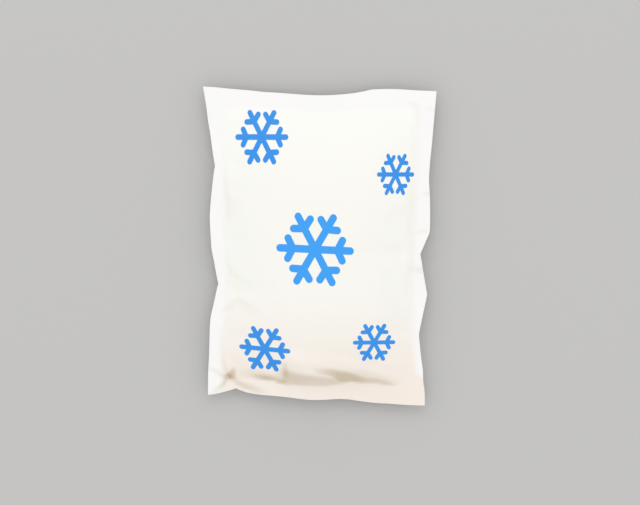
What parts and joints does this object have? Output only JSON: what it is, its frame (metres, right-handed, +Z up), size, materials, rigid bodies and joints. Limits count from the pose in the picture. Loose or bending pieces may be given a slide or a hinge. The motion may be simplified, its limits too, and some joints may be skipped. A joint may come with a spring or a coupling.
{
  "type": "reusable gel ice pack",
  "caption": "Flat sealed gel cold pack in white film, welded on all four sides, with blue snowflakes printed on its front.",
  "frame": {"origin": "on the floor, under the middle of the pack's outer size", "axes": "+X across the pack, +Y along it towards the head weld, +Z up out of the printed front"},
  "size_m": [0.12, 0.1636, 0.0209],
  "materials": {
    "white_film": "satin",
    "blue_ink": "satin"
  },
  "bodies": {
    "root": {"sealed_pouch": "white_film", "snowflake_print": "blue_ink"}
  },
  "joints": []
}
